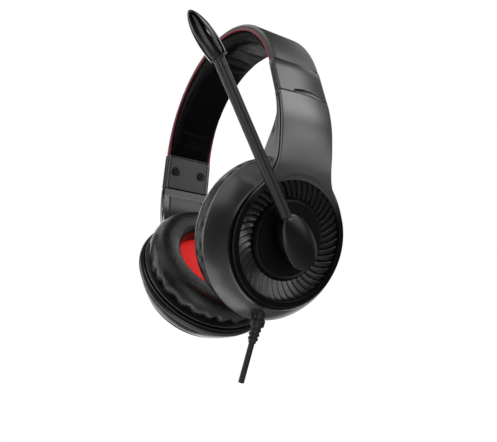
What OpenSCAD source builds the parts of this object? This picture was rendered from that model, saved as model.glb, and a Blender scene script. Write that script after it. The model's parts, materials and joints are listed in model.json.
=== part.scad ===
// Over-ear gaming headset with a swing-up boom microphone.
// The wearer looks along -Y, +X is the wearer's left side, +Z is up.
// Origin: middle of the headband's inner face at the crown, where a head or a stand hook touches.

/* [Headband] */
// Radius of the outer face of the headband arch
band_r = 78.5; // [77:0.5:80]
// Width of the headband cover, front edge to rear edge
band_w = 36.4; // [35:0.4:38]
// Thickness of headband and cushion together at the crown
crown_t = 16.2; // [14.4:0.2:18]
// Length of each sleeve at the end of the headband
sleeve_len = 27.2; // [26.6:0.1:28]
// Thickness of each sleeve
sleeve_t = 6.4; // [6.4:0.1:7.4]

/* [Cups] */
// Diameter of the cup housing where it meets the ear pad
cup_d = 96; // [94:0.5:98]
// Height of the housing from its base to the flat outer face
cup_h = 17.4; // [17:0.1:18.4]
// Lean of the cups, the bottoms of the pads come together
cup_tilt = 26.5; // [25:0.5:28]
// Diameter of the round face plate
face_d = 75; // [74.6:0.2:76.4]
// Number of blades in each fin insert
fin_count = 46; // [36:1:50]
// Thickness of the ear pad
pad_t = 16.4; // [15:0.2:18]

/* [Microphone] */
// Lean of the boom forward of straight up
mic_rest = 39.8; // [30:0.2:50]
// Length from the pivot to the microphone tip
boom_reach = 140; // [130:1:146]
// Diameter of the boom at its foot
boom_d = 6.8; // [6:0.2:7]

/* [Hidden] */
$fn = 64;

// Colours
shell_grey = [0.24, 0.24, 0.25];
cover_grey = [0.17, 0.17, 0.18];
trim_black = [0.06, 0.06, 0.07];
leather_black = [0.09, 0.09, 0.09];
cloth_red = [0.80, 0.08, 0.08];
steel = [0.62, 0.63, 0.65];
copper = [0.72, 0.45, 0.25];

// Headband arch: a round arch, then a straight sleeve, then the curved arm down to the cup
sleeve_a = 80;
arm_r = 77.5;
arm_reach = 40.3;
arch_z = crown_t - band_r;
out_dir = [sin(sleeve_a), cos(sleeve_a)];
down_dir = [cos(sleeve_a), -sin(sleeve_a)];
sleeve_top = [0, arch_z] + band_r * out_dir;
split = sleeve_top + sleeve_len * down_dir;
arm_c = split - arm_r * out_dir;
cup_n = [cos(cup_tilt), -sin(cup_tilt)];
cup_up = [sin(cup_tilt), cos(cup_tilt)];
cup_c = arm_c + (arm_r - cup_h) * cup_n - arm_reach * cup_up;

// Layers of the headband, measured inward from the outer face
cover_drop = 0.6;
cover_in = band_r - 4;
strip_t = 0.8;
strip_w = 26;
strip_tail = 17;
piping_r = 1;
piping_y = band_w / 2 - 0.2;
cushion_w = band_w - 0.8;
cushion_r = cover_in - strip_t - 0.4;
cushion_end = sleeve_top - sleeve_t * out_dir;
cushion_in_r = (cushion_end[0] * cushion_end[0] + cushion_end[1] * cushion_end[1]) / (-2 * cushion_end[1]);

// Sleeve and slider
sleeve_w = band_w + 1.2;
sleeve_edge_r = 2;
plate_w = 32.6;
plate_t = 1.5;
screw_sink = 1;
plate_margin = 0.8;
bar_w = 14;
bar_t = 1.2;
bar_in = 2.6;
bar_up = 31;
bar_down = 14;
bar_head_w = 16;
bar_head_len = 3;
channel_gap = 0.3;
channel_stop = 21.3;
screw_y = 11;
screw_z = 12.7;
notch_top_w = 16;
notch_foot_w = 22;
notch_h = 3;
notch_depth = 1.2;
notch_y = 3;

// Cup layers along the cup axis, zero at the housing base
wall = 2.2;
face_t = 2.2;
drum_top_r = face_d / 2 + 1.8;
face_hole_r = 34;
seat_r = 36;
seat_h = cup_h - face_t;
seam = 0.02;
fin_base = 9;
fin_plate_t = 1.5;
fin_half_t = 1.1;
hub_r = 23.7;
hub_base = fin_base + fin_plate_t;
hub_top = hub_base + 5.1;
baffle_t = 2;
driver_r = 25;
cloth_r = 31.8;
pad_ring_t = 2.2;
pad_hole_r = 28.4;
pad_out_r = 47;
cup_screw_r = 40.4;
arm_flare = 32;
arm_cover_w = 29;
arm_cover_t = 1.5;
arm_w = sleeve_w;

// Microphone layers along the cup axis
pivot_r = 5.1;
pivot_gap = 0.06;
boss_base = hub_top + 0.5;
boss_neck_r = 8.7;
boss_neck_h = 2.3;
boss_edge_h = 9.3;
boom_h = cup_h + 4.4;
stop_r = 7.5;
stop_pin_r = 1;
mic_back = 40;
mic_down = 90;
capsule_len = 27.4;
collar_at = boom_reach - capsule_len;
mic_bend = 10;
grommet_y = -5.8;
grommet_h = 8;
cable_len = 36;
cable_lean = 5;

// A point on an arc about c, angle measured from straight up
function arc_pt(c, r, a) = c + r * [sin(a), cos(a)];
function arc_pts(c, r, a0, a1, n) = [for (i = [0:n]) arc_pt(c, r, a0 + (a1 - a0) * i / n)];

// The arm's inner face: a curve from the sleeve down to the rim of the housing base
inner_a = split - sleeve_t * out_dir;
inner_b = inner_a + 18 * down_dir;
inner_c = cup_c + 1 * cup_n + (cup_d / 2 - 1) * cup_up;
function inner_pt(t) = (1 - t) * (1 - t) * inner_a + 2 * t * (1 - t) * inner_b + t * t * inner_c;
function inner_dir(t) = (1 - t) * (inner_b - inner_a) + t * (inner_c - inner_b);
function inner_out(t) = [-inner_dir(t)[1], inner_dir(t)[0]] / norm(inner_dir(t));
function inner_off(t, d) = inner_pt(t) + d * inner_out(t);
function inner_strip(t0, t1, d0, d1, n) = concat(
    [for (i = [0:n]) inner_off(t0 + (t1 - t0) * i / n, d0)],
    [for (i = [n:-1:0]) inner_off(t0 + (t1 - t0) * i / n, d1)]
);

// Draws for the left side, or mirrored for the right side
module side(left) {
    if (left) children();
    else mirror([1, 0, 0]) children();
}

// Sleeve frame: x points inward, z points down along the slider
module in_sleeve() {
    translate([sleeve_top[0], 0, sleeve_top[1]])
        rotate([0, 90 + sleeve_a, 0]) children();
}

// Cup frame: z points outward along the cup axis, -x points up in the plane of the cup
module in_cup() {
    translate([cup_c[0], 0, cup_c[1]])
        rotate([0, 90 + cup_tilt, 0]) children();
}

// Microphone frame: the cup frame of the left cup with -x along the boom
module in_mic() {
    in_cup() rotate([0, 0, mic_rest]) children();
}

// Cable frame: origin near the wall at the bottom of the left cup, z out along the cable, which leans forward
module in_cable() {
    in_cup() translate([cup_d / 2 - 4, grommet_y, grommet_h]) rotate([0, 90, -cable_lean]) children();
}

// Microphone head: origin where the boom ends, z along the head, which is bent forward from the boom
module in_mic_head() {
    in_mic() translate([-collar_at, 0, boom_h]) rotate([0, 0, mic_bend]) rotate([0, -90, 0]) children();
}

// Extrudes a side view drawn in X and Z across the width w
module across(w) {
    rotate([90, 0, 0]) linear_extrude(w, center = true) children();
}

module ring(r_out, r_in, h) {
    difference() {
        cylinder(r = r_out, h = h);
        translate([0, 0, -1]) cylinder(r = r_in, h = h + 2);
    }
}

// Arch of a round-edged section, from sleeve to sleeve
module arch() {
    translate([0, 0, arch_z]) rotate([90, 0, 0]) rotate([0, 0, 90 - sleeve_a])
        rotate_extrude(angle = 2 * sleeve_a, $fn = 120) children();
}

module flat_section(r_in, r_out, w, edge) {
    translate([r_in, -w / 2]) square([r_out - r_in - edge, w]);
    translate([r_in, edge - w / 2]) square([r_out - r_in, w - 2 * edge]);
    for (s = [-1, 1]) translate([r_out - edge, s * (w / 2 - edge)]) circle(edge, $fn = 24);
}

module piping_cords(grow) {
    for (s = [-1, 1]) arch() translate([cover_in, s * piping_y]) circle(piping_r + grow, $fn = 16);
}

module slider_space(gap) {
    translate([bar_in - gap, -bar_head_w / 2 - gap, sleeve_len - bar_up - 0.5])
        cube([bar_t + 2 * gap, bar_head_w + 2 * gap, channel_stop + 0.5 + bar_up - sleeve_len]);
    translate([bar_in - gap, -bar_w / 2 - gap, 0])
        cube([bar_t + 2 * gap, bar_w + 2 * gap, sleeve_len + 1]);
}

module both_sides() {
    children();
    mirror([1, 0, 0]) children();
}

module headband_cover() {
    color(cover_grey) difference() {
        arch() flat_section(cover_in, band_r - cover_drop, band_w, 1.8);
        piping_cords(0);
        both_sides() in_sleeve() slider_space(channel_gap);
    }
}

module headband_piping() {
    color(cloth_red) piping_cords(0);
}

// The strip follows the arch and runs straight on into both sleeves
module spring_band() {
    r_in = cover_in - strip_t;
    arch_c = [0, arch_z];
    tail = strip_tail * down_dir;
    tail_out = arc_pt(arch_c, cover_in, sleeve_a) + tail;
    tail_in = arc_pt(arch_c, r_in, sleeve_a) + tail;
    color(steel) difference() {
        across(strip_w) polygon(concat(
            [[-tail_out[0], tail_out[1]]],
            arc_pts(arch_c, cover_in, -sleeve_a, sleeve_a, 60),
            [tail_out, tail_in],
            arc_pts(arch_c, r_in, sleeve_a, -sleeve_a, 60),
            [[-tail_in[0], tail_in[1]]]
        ));
        both_sides() in_sleeve() screw_holes(1.4);
    }
}

module head_cushion() {
    in_c = [0, -cushion_in_r];
    end_a = sleeve_a - 0.2;
    foot = arc_pt([0, arch_z], band_r - sleeve_t, end_a);
    in_a = asin(foot[0] / cushion_in_r) - 0.2;
    color(leather_black) across(cushion_w) polygon(concat(
        arc_pts([0, arch_z], cushion_r, -end_a, end_a, 48),
        arc_pts(in_c, cushion_in_r, in_a, -in_a, 48)
    ));
}

module screw_holes(r) {
    for (s = [-1, 1]) translate([sleeve_t / 2 - 1, s * screw_y, screw_z])
        rotate([0, 90, 0]) cylinder(r = r, h = sleeve_t, $fn = 24);
}

module notch_outline(gap) {
    polygon([
        [notch_y - notch_foot_w / 2 - gap, 1],
        [notch_y - notch_foot_w / 2 - gap, 0],
        [notch_y - notch_top_w / 2 - gap, -notch_h - gap],
        [notch_y + notch_top_w / 2 + gap, -notch_h - gap],
        [notch_y + notch_foot_w / 2 + gap, 0],
        [notch_y + notch_foot_w / 2 + gap, 1]
    ]);
}

// The thumb notch cut in the lower edge of the sleeve, or the tongue that fills it
module thumb_notch(gap) {
    translate([-1, 0, sleeve_len]) rotate([90, 0, 90])
        linear_extrude(1 + notch_depth + gap) notch_outline(gap);
}

module sleeve_outline(w) {
    translate([sleeve_edge_r, -w / 2]) square([sleeve_t - sleeve_edge_r, w]);
    translate([0, sleeve_edge_r - w / 2]) square([sleeve_t, w - 2 * sleeve_edge_r]);
    for (s = [-1, 1]) translate([sleeve_edge_r, s * (w / 2 - sleeve_edge_r)]) circle(sleeve_edge_r, $fn = 32);
}

module sleeve_shell(left) {
    strip_in = band_r - cover_in;
    color(shell_grey) side(left) in_sleeve() difference() {
        linear_extrude(sleeve_len) sleeve_outline(sleeve_w);
        translate([sleeve_t - plate_t, -plate_w / 2, plate_margin])
            cube([plate_t + 1, plate_w, sleeve_len - 2 * plate_margin]);
        translate([strip_in, -strip_w / 2, -1]) cube([strip_t, strip_w, strip_tail + 1]);
        slider_space(channel_gap);
        screw_holes(1);
        thumb_notch(0.1);
    }
}

module sleeve_plate(left) {
    color(trim_black) side(left) in_sleeve() difference() {
        translate([sleeve_t - plate_t, -plate_w / 2, plate_margin])
            cube([plate_t, plate_w, sleeve_len - 2 * plate_margin]);
        screw_holes(1.3);
        for (s = [-1, 1]) translate([sleeve_t - screw_sink, s * screw_y, screw_z])
            rotate([0, 90, 0]) cylinder(r = 2.6, h = 2, $fn = 32);
    }
}

// Small pan-head screw, head up at z = 0, cross slot in the head
module pan_screw(head_r, head_h, shank_r, len) {
    difference() {
        union() {
            cylinder(r = head_r, h = head_h, $fn = 24);
            translate([0, 0, -len]) cylinder(r = shank_r, h = len, $fn = 16);
        }
        for (a = [0, 90]) rotate([0, 0, a])
            translate([-head_r * 0.6, -0.3, head_h - 0.5]) cube([head_r * 1.2, 0.6, 1]);
    }
}

module sleeve_screws(left) {
    color(steel) side(left) in_sleeve() for (s = [-1, 1])
        translate([sleeve_t - screw_sink, s * screw_y, screw_z]) rotate([0, 90, 0]) pan_screw(2.2, 0.9, 1, 3);
}

module slider_bar(left) {
    color(steel) side(left) in_sleeve() {
        translate([bar_in, -bar_w / 2, sleeve_len - bar_up]) cube([bar_t, bar_w, bar_up + bar_down]);
        translate([bar_in, -bar_head_w / 2, sleeve_len - bar_up]) cube([bar_t, bar_head_w, bar_head_len]);
    }
}

// Plan of arm and face in the plane of the cup: a strip that flares into the round face
module arm_plan() {
    r = face_d / 2;
    flare_x = arm_w / 2 + arm_flare;
    flare_up = sqrt((arm_flare + r) * (arm_flare + r) - flare_x * flare_x);
    circle(r);
    difference() {
        translate([-2 * cup_d, -flare_x]) square([2 * cup_d, 2 * flare_x]);
        for (s = [-1, 1]) {
            translate([-flare_up, s * flare_x]) circle(arm_flare);
            translate([-flare_up - 3 * cup_d, s * (arm_w / 2 + cup_d) - cup_d]) square([3 * cup_d, 2 * cup_d]);
            translate([-r * flare_up / (arm_flare + r), s * flare_x - arm_flare])
                square([cup_d, 2 * arm_flare]);
        }
    }
}

// Side view of the housing: everything behind the face plate
module housing_side() {
    polygon(concat(
        arc_pts(arm_c, arm_r - face_t, sleeve_a, 90 + cup_tilt, 24),
        [cup_c + seat_h * cup_n, cup_c + 2 * cup_n],
        [for (i = [0:16]) inner_pt(1 - i / 16)]
    ));
}

// Side view of the face plate: flat over the cup, curved up the arm
module face_side() {
    below = 1.2 * face_d / 2;
    polygon(concat(
        arc_pts(arm_c, arm_r, sleeve_a, 90 + cup_tilt, 24),
        [cup_c + cup_h * cup_n - below * cup_up, cup_c + (seat_h + seam) * cup_n - below * cup_up],
        arc_pts(arm_c, arm_r - face_t + seam, 90 + cup_tilt, sleeve_a, 24)
    ));
}

module drum_outside() {
    rotate_extrude() polygon([
        [0, 0],
        [cup_d / 2 - 0.6, 0],
        [cup_d / 2, 0.8],
        [cup_d / 2, 2.6],
        [drum_top_r + 0.8, seat_h - 1.2],
        [drum_top_r, seat_h],
        [0, seat_h]
    ]);
}

module drum_inside() {
    rotate_extrude() polygon([
        [0, -1],
        [cup_d / 2 - wall, -1],
        [cup_d / 2 - wall, 2],
        [seat_r + 0.1, seat_h - 4],
        [seat_r + 0.1, cup_h + 9],
        [0, cup_h + 9]
    ]);
}

module at_cup_screws() {
    for (a = [45:90:315]) rotate([0, 0, a]) translate([cup_screw_r, 0, 0]) children();
}

module bar_pocket() {
    in_sleeve() translate([bar_in, -bar_w / 2, sleeve_len - 1]) cube([bar_t, bar_w, bar_down + 1]);
}

module cup_housing(left) {
    color(shell_grey) side(left) difference() {
        union() {
            difference() {
                union() {
                    intersection() {
                        across(2 * cup_d) housing_side();
                        in_cup() translate([0, 0, -cup_d]) linear_extrude(3 * cup_d) arm_plan();
                    }
                    in_cup() drum_outside();
                }
                in_cup() drum_inside();
            }
            in_cup() intersection() {
                at_cup_screws() cylinder(r = 3.4, h = 9, $fn = 24);
                drum_outside();
            }
        }
        in_cup() at_cup_screws() translate([0, 0, -1]) cylinder(r = 1, h = 8, $fn = 16);
        bar_pocket();
        across(arm_cover_w) polygon(inner_strip(0.14, 0.9, -2, arm_cover_t, 12));
        if (left) in_cable() {
            translate([0, 0, -14]) cylinder(r = 3.4, h = 30, $fn = 32);
            translate([0, 0, 1.8]) cylinder(r = 4.4, h = 10, $fn = 32);
        }
    }
}

// Outer skin of the arm and the flat rim round the fins, with the tongue that fills the thumb notch
module cup_face(left) {
    color(shell_grey) side(left) difference() {
        union() {
            intersection() {
                across(2 * cup_d) face_side();
                in_cup() translate([0, 0, -cup_d]) linear_extrude(3 * cup_d) arm_plan();
            }
            in_sleeve() intersection() {
                thumb_notch(0);
                linear_extrude(2 * sleeve_len) sleeve_outline(sleeve_w);
            }
        }
        in_cup() cylinder(r = face_hole_r, h = 3 * cup_h);
        bar_pocket();
    }
}

module arm_cover(left) {
    color(cover_grey) side(left) across(arm_cover_w)
        polygon(inner_strip(0.14, 0.9, 0, arm_cover_t, 12));
}

module fin_insert(left) {
    color(cover_grey) side(left) in_cup() {
        translate([0, 0, fin_base]) ring(seat_r, 12, fin_plate_t);
        translate([0, 0, fin_base]) ring(seat_r, face_hole_r + 0.1, seat_h - fin_base);
        intersection() {
            for (i = [0:fin_count - 1]) rotate([0, 0, i * 360 / fin_count]) fin();
            rotate_extrude() polygon([
                [hub_r + 0.1, fin_base + 1],
                [face_hole_r + 0.4, fin_base + 1],
                [face_hole_r + 0.4, seat_h],
                [hub_r + 0.1, hub_top - 3.6]
            ]);
        }
    }
}

// A blade made of three straight pieces that sweep sideways and widen as they run outward
module fin() {
    turns = [4, 18, 32];
    piece = 4.3;
    p0 = [hub_r - 0.2, 0];
    p1 = p0 + piece * [cos(turns[0]), sin(turns[0])];
    p2 = p1 + piece * [cos(turns[1]), sin(turns[1])];
    p3 = p2 + 1.2 * piece * [cos(turns[2]), sin(turns[2])];
    half = [-0.35, 1] * fin_half_t;
    translate([0, 0, fin_base + 1]) linear_extrude(8) polygon([
        p0 - half, p1 - 1.15 * half, p2 - 1.3 * half, p3 - 1.45 * half,
        p3 + 1.45 * half, p2 + 1.3 * half, p1 + 1.15 * half, p0 + half
    ]);
}

module stop_groove() {
    half = 11;
    rotate([0, 0, 180 + mic_rest]) translate([0, 0, hub_top - 1.6])
        rotate([0, 0, -mic_back - half])
            rotate_extrude(angle = mic_back + mic_down + 2 * half)
                translate([stop_r - stop_pin_r - 0.2, 0]) square([2 * stop_pin_r + 0.4, 3]);
}

module hub_disc(left) {
    color(trim_black) side(left) in_cup() difference() {
        rotate_extrude() polygon([
            [0, hub_base],
            [hub_r, hub_base],
            [hub_r, hub_top - 2.3],
            [hub_r - 1.8, hub_top],
            [hub_r - 2.4, hub_top - 0.4],
            [0, hub_top - 0.4]
        ]);
        if (left) {
            translate([0, 0, hub_base - 1]) cylinder(r = pivot_r + pivot_gap, h = 9);
            stop_groove();
        }
    }
}

module baffle(left) {
    color(trim_black) side(left) in_cup() difference() {
        translate([0, 0, -baffle_t]) union() {
            cylinder(r = cup_d / 2 - 1.4, h = baffle_t);
            translate([0, 0, -1]) cylinder(r = cloth_r, h = 1);
        }
        translate([0, 0, -baffle_t - 2]) cylinder(r = driver_r - 1.4, h = 5);
        at_cup_screws() translate([0, 0, -baffle_t - 1]) cylinder(r = 1.3, h = 4, $fn = 24);
    }
}

module driver_frame(left) {
    color(trim_black) side(left) in_cup() rotate_extrude() polygon([
        [driver_r - 2.6, 0],
        [driver_r, 0],
        [driver_r, 1.4],
        [driver_r - 2, 1.8],
        [driver_r - 6, 4.4],
        [13.6, 4.4],
        [13.6, 3.4],
        [driver_r - 6.6, 3.4],
        [driver_r - 2.6, 1]
    ]);
}

module driver_magnet(left) {
    color(steel) side(left) in_cup() {
        translate([0, 0, 4.4]) cylinder(r = 14.4, h = 3.6);
        translate([0, 0, 3]) cylinder(r = 13.2, h = 1.4);
    }
}

module driver_cone(left) {
    color(copper) side(left) in_cup() rotate_extrude() polygon([
        [0, -0.9],
        [6, -0.5],
        [9, 1],
        [16, -0.6],
        [driver_r - 2.7, 0.2],
        [driver_r - 2.7, 0.4],
        [16, -0.3],
        [9.1, 1.3],
        [5.9, -0.2],
        [0, -0.6]
    ]);
}

module speaker_cloth(left) {
    color(cloth_red) side(left) in_cup() translate([0, 0, -baffle_t - 1.5]) cylinder(r = cloth_r, h = 0.5);
}

module pad_ring(left) {
    color(trim_black) side(left) in_cup() translate([0, 0, -baffle_t - pad_ring_t]) difference() {
        union() {
            cylinder(r = 43.6, h = pad_ring_t);
            cylinder(r = cup_d / 2 - 2, h = 0.8);
        }
        translate([0, 0, -1]) cylinder(r = cloth_r + 0.1, h = 5);
        at_cup_screws() {
            translate([0, 0, -1]) cylinder(r = 1.3, h = 5, $fn = 24);
            translate([0, 0, -1]) cylinder(r = 2.5, h = 2.2, $fn = 24);
        }
    }
}

module cup_screws(left) {
    color(steel) side(left) in_cup() at_cup_screws()
        translate([0, 0, 1.2 - baffle_t - pad_ring_t]) mirror([0, 0, 1]) pan_screw(2.2, 1, 1, 7);
}

module ear_pad(left) {
    back = -baffle_t - pad_ring_t - 0.2;
    mid_r = (pad_out_r + pad_hole_r) / 2;
    half = (pad_out_r - pad_hole_r) / 2;
    round_h = back - pad_t + half;
    color(leather_black) side(left) in_cup() rotate_extrude() union() {
        translate([pad_hole_r, round_h]) square([2 * half, back - round_h]);
        translate([mid_r, round_h]) intersection() {
            circle(half, $fn = 40);
            translate([-half, -half]) square([2 * half, half]);
        }
    }
}

// Egg-shaped outline, wide and blunt behind the pivot (+x), narrower toward the boom (-x)
module egg_outline(shrink) {
    half_w = 10.2 - shrink;
    wide_l = 15.4 - shrink;
    narrow_l = 18.7 - shrink;
    blunt = 2 / 2.4;
    polygon([for (i = [0:59]) let (c = cos(i * 6), s = sin(i * 6)) c > 0.001
        ? [1.5 + wide_l * pow(c, blunt), half_w * sign(s) * pow(abs(s), blunt)]
        : [1.5 + narrow_l * c, half_w * s]]);
}

module mic_boss() {
    color(shell_grey) in_mic() difference() {
        union() {
            translate([0, 0, boss_base]) cylinder(r = boss_neck_r, h = boss_neck_h);
            translate([0, 0, boss_base + boss_neck_h])
                linear_extrude(boss_edge_h - boss_neck_h) egg_outline(0);
            translate([0, 0, boss_base + boss_edge_h]) linear_extrude(0.8) egg_outline(1);
            translate([0, 0, boss_base + boss_edge_h + 0.8]) linear_extrude(0.6) egg_outline(2.6);
            translate([-stop_r, 0, hub_top - 1.3]) cylinder(r = stop_pin_r, h = 3, $fn = 24);
        }
        translate([0, 0, boss_base - 1]) cylinder(r = pivot_r, h = 4);
        translate([-10, 0, boom_h]) rotate([0, -90, 0]) cylinder(r = boom_d / 2, h = 20, $fn = 32);
    }
}

module mic_shaft() {
    color(steel) in_mic() translate([0, 0, 8.8]) difference() {
        cylinder(r = pivot_r, h = boss_base + 3 - 8.8);
        translate([0, 0, 0.5]) ring(pivot_r + 1, 4.2, 0.9);
        translate([0, 0, -1]) cylinder(r = 2.2, h = 12, $fn = 32);
    }
}

module mic_clip() {
    color(steel) in_mic() translate([0, 0, 9.3]) difference() {
        cylinder(r = 7.4, h = 0.9);
        translate([0, 0, -1]) cylinder(r = 4.2, h = 3);
        translate([0, -2.6, -1]) cube([9, 5.2, 3]);
    }
}

module mic_washer() {
    color(steel) in_cup() translate([0, 0, hub_top - 0.4]) ring(6.4, pivot_r + 0.2, 0.8);
}

// The boom runs along -x from the boss to the collar of the microphone
module mic_boom() {
    color(trim_black) in_mic() translate([-10, 0, boom_h]) rotate([0, -90, 0]) difference() {
        cylinder(r1 = boom_d / 2, r2 = boom_d / 2 - 0.2, h = collar_at - 8.8, $fn = 32);
        translate([0, 0, -1]) cylinder(r = 1, h = boom_reach, $fn = 16);
    }
}

module mic_collar() {
    color(trim_black) difference() {
        in_mic_head() union() {
            translate([0, 0, -1.6]) cylinder(r = 5.2, h = 1.6, $fn = 40);
            cylinder(r = 4.5, h = 2.4, $fn = 40);
        }
        in_mic() translate([4 - collar_at, 0, boom_h]) rotate([0, -90, 0])
            cylinder(r = boom_d / 2 - 0.15, h = 10, $fn = 32);
    }
}

module mic_capsule() {
    len = capsule_len;
    color(trim_black) in_mic_head() difference() {
        rotate_extrude($fn = 48) polygon([
            [0, 0],
            [4.7, 0],
            [5.1, 0.5],
            [5.6, 0.22 * len],
            [5.6, 0.4 * len],
            [5.2, 0.6 * len],
            [4.1, 0.8 * len],
            [2.6, 0.93 * len],
            [1.2, 0.99 * len],
            [0, len]
        ]);
        translate([0, 0, -1]) cylinder(r = 4.5, h = 11, $fn = 40);
        translate([0, 0, 16.5]) rotate([0, 90, 0]) cylinder(r = 0.5, h = 8, $fn = 16);
        translate([0, 0, 15.2]) cylinder(r = 2, h = 2.6, $fn = 24);
    }
}

module mic_element() {
    color(steel) in_mic_head() translate([0, 0, 5]) cylinder(r = 4.3, h = 2.7, $fn = 40);
}

// Rubber boot: a collar in the housing wall, a ribbed taper below it
module cable_boot() {
    color(trim_black) in_cable() difference() {
        union() {
            translate([0, 0, -4]) cylinder(r = 3.3, h = 8, $fn = 32);
            translate([0, 0, 2]) cylinder(r = 4.2, h = 4, $fn = 32);
            translate([0, 0, 5]) cylinder(r1 = 3, r2 = 2.3, h = 10, $fn = 32);
            for (i = [0:2]) translate([0, 0, 7.4 + i * 2.4]) cylinder(r = 3.3 - 0.2 * i, h = 1.2, $fn = 32);
        }
        translate([0, 0, -5]) cylinder(r = 1.7, h = 30, $fn = 24);
    }
}

module cable_stub() {
    color(trim_black) in_cable() translate([0, 0, -5]) cylinder(r = 1.65, h = cable_len + 5, $fn = 24);
}

headband_cover();
headband_piping();
head_cushion();
spring_band();
sleeve_shell(true);  // sleeve_shell_left
sleeve_shell(false);  // sleeve_shell_right
sleeve_plate(true);  // sleeve_plate_left
sleeve_plate(false);  // sleeve_plate_right
sleeve_screws(true);  // sleeve_screws_left
sleeve_screws(false);  // sleeve_screws_right
slider_bar(true);  // slider_bar_left
slider_bar(false);  // slider_bar_right
cup_face(true);  // cup_face_left
cup_face(false);  // cup_face_right
cup_housing(true);  // cup_housing_left
cup_housing(false);  // cup_housing_right
arm_cover(true);  // arm_cover_left
arm_cover(false);  // arm_cover_right
fin_insert(true);  // fin_insert_left
fin_insert(false);  // fin_insert_right
hub_disc(true);  // hub_disc_left
hub_disc(false);  // hub_disc_right
baffle(true);  // baffle_left
baffle(false);  // baffle_right
driver_frame(true);  // driver_frame_left
driver_frame(false);  // driver_frame_right
driver_magnet(true);  // driver_magnet_left
driver_magnet(false);  // driver_magnet_right
driver_cone(true);  // driver_cone_left
driver_cone(false);  // driver_cone_right
speaker_cloth(true);  // speaker_cloth_left
speaker_cloth(false);  // speaker_cloth_right
pad_ring(true);  // pad_ring_left
pad_ring(false);  // pad_ring_right
cup_screws(true);  // cup_screws_left
cup_screws(false);  // cup_screws_right
ear_pad(true);  // ear_pad_left
ear_pad(false);  // ear_pad_right
mic_boss();
mic_shaft();
mic_clip();
mic_washer();
mic_boom();
mic_collar();
mic_capsule();
mic_element();
cable_boot();
cable_stub();
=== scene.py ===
import json
import math

import bmesh
import bpy
from mathutils import Matrix, Vector, noise


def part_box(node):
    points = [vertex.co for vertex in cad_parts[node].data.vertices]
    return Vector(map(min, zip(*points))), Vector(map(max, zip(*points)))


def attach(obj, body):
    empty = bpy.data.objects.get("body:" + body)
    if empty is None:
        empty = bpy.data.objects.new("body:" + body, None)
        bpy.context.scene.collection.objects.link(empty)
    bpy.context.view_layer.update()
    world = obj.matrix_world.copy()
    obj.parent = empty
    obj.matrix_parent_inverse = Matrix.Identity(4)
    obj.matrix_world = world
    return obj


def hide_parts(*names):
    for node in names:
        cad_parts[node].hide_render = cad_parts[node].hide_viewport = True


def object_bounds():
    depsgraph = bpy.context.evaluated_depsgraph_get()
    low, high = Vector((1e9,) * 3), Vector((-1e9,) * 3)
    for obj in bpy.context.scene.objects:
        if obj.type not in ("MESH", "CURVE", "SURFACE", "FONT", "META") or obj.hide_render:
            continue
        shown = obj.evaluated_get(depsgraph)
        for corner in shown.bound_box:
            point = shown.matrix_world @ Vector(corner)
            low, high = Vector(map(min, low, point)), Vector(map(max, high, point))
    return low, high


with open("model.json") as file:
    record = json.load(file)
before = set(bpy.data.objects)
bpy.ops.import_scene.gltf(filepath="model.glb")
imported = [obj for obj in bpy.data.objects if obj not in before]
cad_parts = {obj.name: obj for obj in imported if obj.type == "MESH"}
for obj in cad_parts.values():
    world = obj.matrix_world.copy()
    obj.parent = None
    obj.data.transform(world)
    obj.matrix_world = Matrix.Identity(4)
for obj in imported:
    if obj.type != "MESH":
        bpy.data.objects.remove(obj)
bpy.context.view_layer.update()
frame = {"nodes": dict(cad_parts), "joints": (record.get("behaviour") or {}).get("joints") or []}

MM = 0.001

# ---------------------------------------------------------------- frame
joints = {j["name"]: j for j in frame["joints"]}
AXIS_N = Vector(joints["mic_swing"]["axis"]).normalized()
PIVOT = Vector(joints["mic_swing"]["pos_m"])
DOWN = Vector(joints["slider_left"]["axis"]).normalized()
UP = Vector((-AXIS_N.z, 0, AXIS_N.x))
OUT = Vector((-DOWN.z, 0, DOWN.x))
SIDE_Y = Vector((0, 1, 0))

# Dimensions in mm, the same as the CAD's
BAND_R, BAND_W = 78.5, 36.4
SLEEVE_LEN, SLEEVE_T, SLEEVE_W = 27.2, 6.4, 37.6
CUP_R, CUP_H, FACE_R, FACE_T, HOLE_R = 48.0, 17.4, 37.5, 2.2, 34.0
ARM_R, ARM_REACH = 77.5, 40.3
HUB_R, HUB_TOP = 23.7, 15.6
PAD_BACK, PAD_T, PAD_OUT, PAD_HOLE = -4.4, 16.4, 47.0, 25.6
BOOM_H, MIC_REST, HEAD_BEND = 21.8, math.radians(39.8), math.radians(10)
BOOM_R, COLLAR_AT, HEAD_LEN = 3.4, 112.6, 27.4

CUP_C = PIVOT - AXIS_N * HUB_TOP * MM
COVER_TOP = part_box("headband_cover")[1].z
ARCH_Z = COVER_TOP / MM + 0.6 - BAND_R
SLEEVE_A = math.atan2(OUT.x, OUT.z)
SLEEVE_TOP = Vector((0, 0, ARCH_Z * MM)) + OUT * BAND_R * MM


def frame_matrix(x, y, z, origin):
    m = Matrix((x, y, z)).transposed().to_4x4()
    m.translation = origin
    return m @ Matrix.Scale(MM, 4)


# Cup frame: x backward, y up in the plane of the cup, z outward.
# Sleeve frame: x backward, y up along it, z outward.
CUP = frame_matrix(SIDE_Y, UP, AXIS_N, CUP_C)
SLEEVE = frame_matrix(SIDE_Y, -DOWN, OUT, SLEEVE_TOP)
WORLD = Matrix.Scale(MM, 4)
# Microphone frame: y runs along the boom. Head frame: y runs along the microphone's head.
MIC = CUP @ Matrix.Rotation(MIC_REST, 4, "Z")
HEAD = MIC @ Matrix.Translation((0, COLLAR_AT, BOOM_H)) @ Matrix.Rotation(HEAD_BEND, 4, "Z")
MIRROR = Matrix.Scale(-1, 4, (1, 0, 0))
BODY = {"left": "left_cup", "right": "right_cup"}


# ---------------------------------------------------------------- mesh helpers
WELD = 1e-4  # in mm: points closer than this are one


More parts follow.
